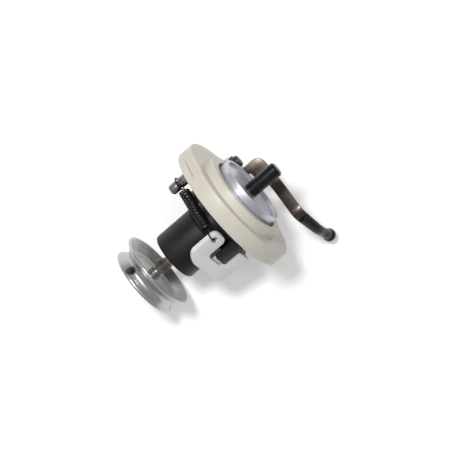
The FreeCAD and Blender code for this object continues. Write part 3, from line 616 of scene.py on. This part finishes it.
make_camera()
make_world()
make_table()
make_lamp("lamp_upper_left", stage_point(-230, 220, 850), 170, 5.2)
make_lamp("lamp_front", stage_point(80, 60, 900), 500, 0.9)
bpy.context.scene.view_settings.view_transform = "Standard"


# The winder's pieces


def upright(radius, low, high, centre, edge=0.0, steps=64):
    """A plain upright cylinder with both edges rounded."""
    return turned([(0, low, 0), (radius, low, edge), (radius, high, edge), (0, high, 0)], centre, steps)


def box(low, high, place=Matrix()):
    """A plain block between two corners, moved by the matrix place."""
    bm = bmesh.new()
    bmesh.ops.create_cube(bm, size=MM)
    size = Vector(high) - Vector(low)
    middle = (Vector(high) + Vector(low)) / 2 * MM
    bmesh.ops.scale(bm, verts=bm.verts[:], vec=size)
    bmesh.ops.transform(bm, matrix=place @ Matrix.Translation(middle), verts=bm.verts[:])
    return bm


def make_flange():
    centre = Vector((0, 0, 0))
    disc = turned([(NECK_BORE_R - 3, 0, 0), (FLANGE_R, 0, 0.5), (FLANGE_R, FLANGE_TALL, 0.6),
                   (NECK_BORE_R - 3, FLANGE_TALL, 0)], centre, 240)
    boss = turned([(1, 1, 0), (BOSS_R, 1, 0), (BOSS_R, BOSS_TOP, 0.5), (1, BOSS_TOP, 0)], SPINDLE, 200)
    lug = turned([(0, 1, 0), (LUG_R, 1, 0), (LUG_R, LUG_TOP, 0.3), (0, LUG_TOP, 0)], LEVER_PIVOT, 64)
    well = turned([(0, WELL_FLOOR, 0), (WELL_R, WELL_FLOOR, 0.5), (WELL_R, BOSS_TOP + 1, 0),
                   (0, BOSS_TOP + 1, 0)], SPINDLE, 180)
    bore = upright(NECK_BORE_R, -1, BOSS_TOP, SPINDLE, 0, 120)
    bush = upright(LEVER_BUSH_R, -1, LUG_TOP + 1, LEVER_PIVOT)
    notch = box((FLANGE_R - NOTCH_DEEP, -FLANGE_R, NOTCH_LEDGE), (FLANGE_R + 2, NOTCH_END, FLANGE_TALL + 1),
                Matrix.Rotation(math.radians(NOTCH_ANGLE), 4, "Z"))
    flange = combine("cream_flange", disc, ("UNION", boss), ("UNION", lug), ("DIFFERENCE", well),
                     ("DIFFERENCE", bore), ("DIFFERENCE", bush), ("DIFFERENCE", notch))
    dress(flange, "base", ["base_flange"], finish_cream)


def make_backing():
    low = node_box("backing_plate")[0]
    plate = turned([(1, low.z, 0), (BACKING_R, low.z, 0.35), (BACKING_R, 0, 0), (1, 0, 0)],
                   Vector((0, 0, 0)), 180)
    bore = upright(NECK_BORE_R, low.z - 1, 1, SPINDLE, 0, 120)
    bush = upright(LEVER_BUSH_R, low.z - 1, 1, LEVER_PIVOT)
    thing = combine("backing_disc", plate, ("DIFFERENCE", bore), ("DIFFERENCE", bush))
    dress(thing, "base", ["backing_plate"], finish_oxide)


def make_disc():
    low, high = node_box("bobbin_seat_disc")
    floor = high.z - SEAT_DISH
    rim = SEAT_R - SEAT_RIM
    disc = turned([(SHAFT_R, low.z, 0), (SEAT_HUB_R, low.z, 0.3), (SEAT_HUB_R, SEAT_LOW, 0.3),
                   (SEAT_R, SEAT_LOW, 0.2), (SEAT_R, high.z, 0.14), (rim, high.z, 0.12),
                   (rim - SEAT_SLOPE, floor, 0.3), (SHAFT_R, floor, 0)], SPINDLE, 180)
    dress(mesh_object("seat_disc", disc), "spindle", ["bobbin_seat_disc"], finish_disc)


def make_spindle():
    low, high = node_box("bobbin_spindle")
    radius = (high.x - low.x) / 2
    post = turned([(1, low.z, 0), (radius, low.z, 0), (radius, high.z - SPINDLE_CHAMFER, 0.2),
                   (radius - SPINDLE_CHAMFER, high.z, 0.2), (0, high.z, 0)], SPINDLE, 96)
    dress(mesh_object("spindle_post", post), "spindle", ["bobbin_spindle"], finish_spindle)


def make_shaft():
    low = node_box("winder_shaft")[0]
    mark = SHAFT_MARK_Z
    deep = SHAFT_R - SHAFT_MARK_DEEP
    mark_top = mark + SHAFT_MARK_TALL
    shaft = turned([(0, low.z, 0), (SHAFT_R - 0.5, low.z, 0.1), (SHAFT_R, low.z + 0.5, 0.1),
                    (SHAFT_R, mark, 0.08), (deep, mark, 0), (deep, mark_top, 0), (SHAFT_R, mark_top, 0.08),
                    (SHAFT_R, SEAT_LOW, 0), (0, SEAT_LOW, 0)], SPINDLE, 96)
    dress(mesh_object("shaft", shaft), "spindle", ["winder_shaft"], finish_shaft)


def groove_profile(top, under):
    """The pulley's concave groove between its two lips, from above to below."""
    points = []
    deep = (PULLEY_R + PULLEY_LOW_R) / 2 - PULLEY_FLOOR_R
    for step in range(1, GROOVE_STEPS):
        share = step / GROOVE_STEPS
        dip = math.sin(math.pi * share) * deep
        radius = PULLEY_R + (PULLEY_LOW_R - PULLEY_R) * share - dip
        points.append((radius, top - PULLEY_LIP - (top - under - 2 * PULLEY_LIP) * share, 0))
    return points


def make_pulley():
    low, high = node_box("drive_pulley")
    top, under = high.z, low.z
    floor = top - PULLEY_DISH_DEEP
    profile = [(SHAFT_R, floor, 0), (PULLEY_DISH_FLOOR_R, floor, 0.9), (PULLEY_DISH_R, top, 0.15),
               (PULLEY_R, top, 0.3), (PULLEY_R, top - PULLEY_LIP, 0.3)]
    profile += groove_profile(top, under)
    profile += [(PULLEY_LOW_R, under + PULLEY_LIP, 0.3), (PULLEY_LOW_R, under, 0.35),
                (PULLEY_UNDERCUT_R, under, 0.3),
                (PULLEY_UNDERCUT_R - PULLEY_UNDERCUT, under + PULLEY_UNDERCUT, 0.4),
                (PULLEY_HUB_R, under + PULLEY_UNDERCUT, 0.4), (PULLEY_HUB_R, under, 0.3), (SHAFT_R, under, 0)]
    tunnel = upright(SET_SCREW_R, 0, PULLEY_R, Vector((0, 0, 0)), 0, 48)
    bmesh.ops.transform(tunnel, matrix=set_screw_place(), verts=tunnel.verts[:])
    thing = combine("pulley", turned(profile, SPINDLE, 200), ("DIFFERENCE", tunnel))
    dress(thing, "spindle", ["drive_pulley"], finish_pulley)


def set_screw_place():
    """Local z runs out from the shaft's axis along the set screw."""
    turn = Matrix.Rotation(math.radians(SET_SCREW_ANGLE), 4, "Z") @ Matrix.Rotation(math.radians(90), 4, "Y")
    return Matrix.Translation(Vector((SPINDLE.x, SPINDLE.y, SET_SCREW_Z)) * MM) @ turn


def make_housing():
    low, high = node_box("bearing_housing")
    step, arm_top = HOUSING_STEP, ARM_TOP
    tube = turned([(SHAFT_R, low.z, 0), (HOUSING_R, low.z, HOUSING_EDGE), (HOUSING_R, step, 0.3),
                   (SHAFT_R, step, 0)], SPINDLE, 160)
    collar = upright(ARM_R, step - 0.5, arm_top, SPINDLE, 0.4, 120)
    boss = upright(PIVOT_BOSS_R, step, arm_top, SWING_PIVOT, 0.4)
    neck = upright(NECK_R, step, high.z, SPINDLE, 0.2, 96)
    reach = SWING_PIVOT - SPINDLE
    heading = math.atan2(reach.y, reach.x)
    half = PIVOT_BOSS_R - 0.2
    arm_place = Matrix.Translation(Vector((SPINDLE.x, SPINDLE.y, step)) * MM)
    arm_place = arm_place @ Matrix.Rotation(heading, 4, "Z")
    arm = slab([(0, -ARM_R + 0.2, 0), (reach.length, -half, 0), (reach.length, half, 0),
                (0, ARM_R - 0.2, 0)], arm_top - step, arm_place, 0.3)
    ear = slab([(EAR_LEFT, EAR_LOW, 0.4), (EAR_RIGHT, EAR_LOW, 0.4), (EAR_RIGHT, EAR_TOP, 0.4),
                (EAR_LEFT, EAR_TOP, 0.4)], EAR_OUT, plate_place(0), 0.3)
    bore = upright(BUSH_R, low.z - 1, high.z + 1, SPINDLE, 0, 96)
    pin = upright(PIVOT_PIN_R, step - 1, arm_top + 1, SWING_PIVOT)
    thing = combine("housing", tube, ("UNION", collar), ("UNION", boss), ("UNION", neck), ("UNION", arm),
                    ("UNION", ear), ("DIFFERENCE", bore), ("DIFFERENCE", pin))
    dress(thing, "swing_arm", ["bearing_housing"], finish_casting)


def plate_place(out):
    """Local x along the spring plate's face, y upwards and z outwards from out millimetres."""
    along, away = unit(PLATE_ANGLE + 90), unit(PLATE_ANGLE)
    place = Matrix((along, UP, away)).transposed().to_4x4()
    place.translation = (SPINDLE + away * out) * MM
    return place


def unit(angle):
    return Vector((math.cos(math.radians(angle)), math.sin(math.radians(angle)), 0))


def make_spring_plate():
    corners = [(PLATE_LEFT, PLATE_TOP, 2.5), (PLATE_LEFT, PLATE_LOW + 3.4, 1.5),
               (PLATE_LEFT + 3.6, PLATE_LOW, 2.2),
               (PLATE_RIGHT, PLATE_LOW, 3.8), (PLATE_RIGHT, EAR_LOW, 0.2), (PLATE_RIGHT + 0.5, EAR_LOW, 0.2),
               (PLATE_RIGHT + 0.5, EAR_TOP, 0.5), (SLOT_RIGHT, EAR_TOP, 1.0), (SLOT_RIGHT, SLOT_LOW, 1.4),
               (SLOT_LEFT, SLOT_LOW, 1.8), (SLOT_LEFT, PLATE_TOP, 2.5)]
    plate = slab(corners, PLATE_THICK, plate_place(PLATE_INNER), 0.25)
    tab = slab([(PLATE_RIGHT - PLATE_THICK, EAR_LOW, 0), (PLATE_RIGHT + 0.5, EAR_LOW, 0),
                (PLATE_RIGHT + 0.5, EAR_TOP, 0), (PLATE_RIGHT - PLATE_THICK, EAR_TOP, 0)],
               TAB_DEEP + PLATE_THICK / 2, plate_place(PLATE_INNER - TAB_DEEP), 0.2)
    hole = upright(PLATE_HOLE_R, -1, PLATE_THICK + 2, Vector((0, 0, 0)), 0, 40)
    place = plate_place(PLATE_INNER) @ Matrix.Translation(Vector((PLATE_HOLE_AT, PLATE_HOLE_Z, 0)) * MM)
    bmesh.ops.transform(hole, matrix=place, verts=hole.verts[:])
    thing = combine("spring_plate_white", plate, ("UNION", tab), ("DIFFERENCE", hole))
    dress(thing, "swing_arm", ["spring_plate"], finish_plate)


def make_stop_block():
    low, high = node_box("stop_block")
    block = slab([(STOP_LEFT, low.z, 0.9), (STOP_RIGHT, low.z, 0.9), (STOP_RIGHT, high.z, 0),
                  (STOP_LEFT, high.z, 0)], STOP_DEEP, plate_place(STOP_INNER), 0.35)
    dress(mesh_object("stop_block_black", block), "base", ["stop_block"], finish_oxide)


def make_stud():
    low, high = node_box("spring_stud")
    radius = (high.x - low.x) / 2
    neck = radius - STUD_NECK_DEEP
    neck_low, neck_high = STUD_NECK_Z - STUD_NECK_TALL / 2, STUD_NECK_Z + STUD_NECK_TALL / 2
    stud = turned([(0, low.z, 0), (radius, low.z, 1.1), (radius, neck_low, 0.2), (neck, neck_low, 0.15),
                   (neck, neck_high, 0.15), (radius, neck_high, 0.2), (radius, 0, 0), (0, 0, 0)], STUD, 64)
    dress(mesh_object("stud", stud), "base", ["spring_stud"], finish_stud)


def arc_points(centre, first, second, radius, start, end, step):
    """Points round an arc in the plane of the directions first and second, in degrees."""
    count = max(2, round(abs(end - start) / step))
    points = []
    for k in range(count + 1):
        angle = math.radians(start + (end - start) * k / count)
        points.append(centre + (first * math.cos(angle) + second * math.sin(angle)) * radius)
    return points


def spring_points():
    radius = node_box("spring_stud")[1].x - STUD.x
    loop_r = radius + WIRE_R + HOOK_ROOM
    loop = Vector((STUD.x, STUD.y, STUD_NECK_Z))
    hook_r = (PLATE_HOLE_AT - PLATE_LEFT) / 2 + HOOK_ROOM + WIRE_R
    along, away = unit(PLATE_ANGLE + 90), unit(PLATE_ANGLE)
    hook = SPINDLE + along * ((PLATE_LEFT + PLATE_HOLE_AT) / 2 - HOOK_ROOM)
    hook += away * (PLATE_INNER + PLATE_THICK / 2) + UP * PLATE_HOLE_Z
    axis = (hook - loop).normalized()
    side = UP.cross(axis).normalized()
    rise = axis.cross(side)
    points = arc_points(loop, axis, side, loop_r, 360, 90, 15)
    start = loop + axis * (loop_r + COIL_LEAD)
    for step in range(20 * COIL_TURNS + 1):
        angle = math.tau * step / 20
        points.append(start + axis * (COIL_PITCH * step / 20)
                      + (side * math.cos(angle) - rise * math.sin(angle)) * COIL_R)
    return points + arc_points(hook, axis, side, hook_r, 90, -150, 15)


def make_spring():
    points = spring_points()
    curve = bpy.data.curves.new("spring_curve", "CURVE")
    curve.dimensions = "3D"
    curve.bevel_depth = WIRE_R * MM
    curve.bevel_resolution = 2
    curve.use_fill_caps = True
    line = curve.splines.new("POLY")
    line.points.add(len(points) - 1)
    for spot, point in zip(line.points, points):
        spot.co = (*(point * MM), 1)
    holder = bpy.data.objects.new("spring_curve", curve)
    bpy.context.scene.collection.objects.link(holder)
    bpy.context.view_layer.update()
    mesh = bpy.data.meshes.new_from_object(holder.evaluated_get(bpy.context.evaluated_depsgraph_get()))
    bpy.data.objects.remove(holder)
    spring = bpy.data.objects.new("spring", mesh)
    bpy.context.scene.collection.objects.link(spring)
    smooth(spring)
    mesh.materials.clear()
    mesh.materials.append(finish_wire)
    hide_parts("tension_spring")
    points[18] * MM
    points[-12] * MM
    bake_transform(spring)


class Path:
    """A bent line in plan: straight runs joined by arcs, read by the distance along it."""

    def __init__(self, corners, bends):
        self.points = []
        spots = [SPINDLE + Vector((x, y, 0)) for x, y in corners]
        for i, spot in enumerate(spots):
            if not bends[i]:
                self.points.append(spot)
                continue
            back = (spots[i - 1] - spot).normalized()
            ahead = (spots[i + 1] - spot).normalized()
            half = back.angle(ahead) / 2
            middle = spot + (back + ahead).normalized() * (bends[i] / math.sin(half))
            begin = spot + back * (bends[i] / math.tan(half)) - middle
            finish = spot + ahead * (bends[i] / math.tan(half)) - middle
            for k in range(13):
                self.points.append(middle + begin.slerp(finish, k / 12).normalized() * bends[i])
        self.marks = [0.0]
        for a, b in zip(self.points, self.points[1:]):
            self.marks.append(self.marks[-1] + (b - a).length)

    def at(self, distance):
        """The place and the heading at a distance along the path."""
        last = len(self.points) - 2
        i = 0
        while i < last and self.marks[i + 1] < distance:
            i += 1
        share = (distance - self.marks[i]) / (self.marks[i + 1] - self.marks[i])
        place = self.points[i].lerp(self.points[i + 1], share)
        return place, self.heading(i, share)

    def heading(self, i, share):
        def run(k):
            k = min(max(k, 0), len(self.points) - 2)
            return (self.points[k + 1] - self.points[k]).normalized()
        before = (run(i - 1) + run(i)).normalized()
        after = (run(i) + run(i + 1)).normalized()
        return before.lerp(after, min(max(share, 0), 1)).normalized()

    def nearest(self, x, y):
        """The distance along the path that lies nearest to a corner, from the spindle."""
        spot = SPINDLE + Vector((x, y, 0))
        steps = [k * 0.05 for k in range(int(self.marks[-1] / 0.05))]
        return min(steps, key=lambda step: (self.at(step)[0] - spot).length)

    def bend(self, bm):
        """Wrap a straight shape: its x runs along the path, its y to the left and its z upwards."""
        for vert in bm.verts:
            place, heading = self.at(vert.co.x / MM)
            vert.co = (place + UP.cross(heading) * (vert.co.y / MM) + UP * (vert.co.z / MM)) * MM


def make_lever():
    path = Path(LEVER_PATH, LEVER_BENDS)
    shoulder = path.nearest(*LEVER_PATH[2]) + GRIP_START + 1
    side = [(0, LEVER_TOP, LOBE_CORNER), (shoulder, LEVER_TOP, 0.6), (shoulder, LEVER_LOW, 0.6),
            (LOBE_RIGHT, LEVER_LOW, 1.0), (LOBE_RIGHT - LOBE_SLOPE, LOBE_LOW, 1.0),
            (LOBE_LEG, LOBE_LOW, 0.8), (LOBE_LEG, FOOT_LOW, 0), (0, FOOT_LOW, 0)]
    bm = bmesh.new()
    outline(bm, [(s, -LEVER_THICK / 2, z) for s, z, _ in side], [rounding for _, _, rounding in side])
    bmesh.ops.edgeloop_fill(bm, edges=bm.edges[:])
    for k in range(1, int(shoulder / LEVER_CUT)):
        bmesh.ops.bisect_plane(bm, geom=bm.verts[:] + bm.edges[:] + bm.faces[:],
                               plane_co=(k * LEVER_CUT * MM, 0, 0), plane_no=(1, 0, 0))
    thicken(bm, Vector((0, LEVER_THICK, 0)))
    soften(bm, 0.18)
    path.bend(bm)
    start = Vector((LEVER_PATH[0][0], LEVER_PATH[0][1] - LEVER_THICK / 2, 0)) + SPINDLE
    lift = Matrix.Translation(UP * FOOT_LOW * MM)
    web = slab([(LEVER_PIVOT.x - LEVER_FOOT_R + 0.4, LEVER_PIVOT.y, 0.2),
                (LEVER_PIVOT.x + LEVER_FOOT_R, LEVER_PIVOT.y, 0.5),
                (start.x + LOBE_LEG, start.y + LEVER_THICK, 0.2),
                (start.x - LOBE_WEB, start.y + LEVER_THICK, 0.8)], LEVER_THICK, lift, 0.15)
    foot = upright(LEVER_FOOT_R, FOOT_LOW, FOOT_TOP, LEVER_PIVOT, 0.18)
    thing = combine("lever_strip", foot, ("UNION", web), ("UNION", bm))
    dress(thing, "lever", ["latch_lever"], finish_strip)


def make_grip():
    path = Path(LEVER_PATH, LEVER_BENDS)
    start = path.nearest(*LEVER_PATH[2]) + GRIP_START
    end = path.marks[-1]
    neck = end - GRIP_BULB_R - GRIP_NECK
    profile = [(0, start, 0), (GRIP_TALL, start, 0.5), (GRIP_TALL * 0.97, start + 3, 0.5),
               (GRIP_TALL * 0.86, neck - 3, 1.2), (GRIP_TALL * 0.84, neck, 1.2)]
    for k in range(10):
        angle = math.radians(-40 + 13 * k)
        profile.append((GRIP_BULB_R * math.cos(angle), end + GRIP_BULB_R * math.sin(angle), 0))
    profile.append((0, end + GRIP_BULB_R, 0))
    bm = turned(profile, Vector((0, 0, 0)), 48)
    for k in range(1, int((end - start) / GRIP_CUT)):
        bmesh.ops.bisect_plane(bm, geom=bm.verts[:] + bm.edges[:] + bm.faces[:],
                               plane_co=(0, 0, (start + k * GRIP_CUT) * MM), plane_no=(0, 0, 1))
    level = (LEVER_LOW + LEVER_TOP) / 2
    for vert in bm.verts:
        along = vert.co.z / MM
        round_share = min(max((along - neck) / GRIP_NECK_BLEND, 0), 1)
        squeeze = GRIP_WIDE / GRIP_TALL * (1 - round_share) + round_share
        vert.co = Vector((along, vert.co.x / MM * squeeze, level + vert.co.y / MM)) * MM
    path.bend(bm)
    bmesh.ops.recalc_face_normals(bm, faces=bm.faces[:])
    dress(mesh_object("grip", bm), "lever", ["lever_grip"], finish_grip, 50)


def slotted_head(radius, tall, edge, place):
    """A round screw head with a slot, its underside at local z = 0."""
    head = turned([(0, 0, 0), (radius, 0, 0.1), (radius, tall, edge), (0, tall, 0)], Vector((0, 0, 0)), 64)
    slot = box((-radius - 1, -SCREW_SLOT / 2, tall - SCREW_SLOT_DEEP), (radius + 1, SCREW_SLOT / 2, tall + 1))
    for shape in (head, slot):
        bmesh.ops.transform(shape, matrix=place, verts=shape.verts[:])
    return head, slot


def make_screws():
    place = Matrix.Translation(Vector((LEVER_PIVOT.x, LEVER_PIVOT.y, FOOT_TOP)) * MM)
    place = place @ Matrix.Rotation(math.radians(SCREW_SLOT_ANGLE), 4, "Z")
    head, slot = slotted_head(LEVER_HEAD_R, LEVER_HEAD_TALL, 0.6, place)
    lever_screw = combine("lever_screw_head", head, ("DIFFERENCE", slot))
    dress(lever_screw, "lever", ["lever_screw"], finish_screw)
    low, high = PLATE_RIGHT + PLATE_HEAD_IN, PLATE_RIGHT + PLATE_HEAD_OUT
    sideways = plate_place(PLATE_INNER - TAB_DEEP / 2)
    sideways = sideways @ Matrix.Translation(Vector((low, (EAR_LOW + EAR_TOP) / 2, 0)) * MM)
    sideways = sideways @ Matrix.Rotation(math.radians(90), 4, "Y")
    head, slot = slotted_head(PLATE_HEAD_R, high - low, 0.7, sideways)
    plate_screw = combine("plate_screw_head", head, ("DIFFERENCE", slot))
    dress(plate_screw, "swing_arm", ["plate_screw"], finish_screw)
    outer = PULLEY_FLOOR_R - SET_SCREW_SINK
    body = turned([(0, SHAFT_R, 0), (SET_SCREW_R, SHAFT_R, 0), (SET_SCREW_R, outer, 0.35), (0, outer, 0)],
                  Vector((0, 0, 0)), 48)
    inner = outer - SET_SCREW_HEX_DEEP
    socket = turned([(0, inner, 0), (SET_SCREW_HEX_R, inner, 0), (SET_SCREW_HEX_R, outer + 1, 0),
                     (0, outer + 1, 0)], Vector((0, 0, 0)), 6)
    for shape in (body, socket):
        bmesh.ops.transform(shape, matrix=set_screw_place(), verts=shape.verts[:])
    set_screw = combine("set_screw", body, ("DIFFERENCE", socket))
    dress(set_screw, "spindle", ["pulley_set_screw"], finish_screw)


make_flange()
make_backing()
make_disc()
make_spindle()
make_shaft()
make_pulley()
make_housing()
make_spring_plate()
make_stop_block()
make_stud()
make_spring()
make_lever()
make_grip()
make_screws()
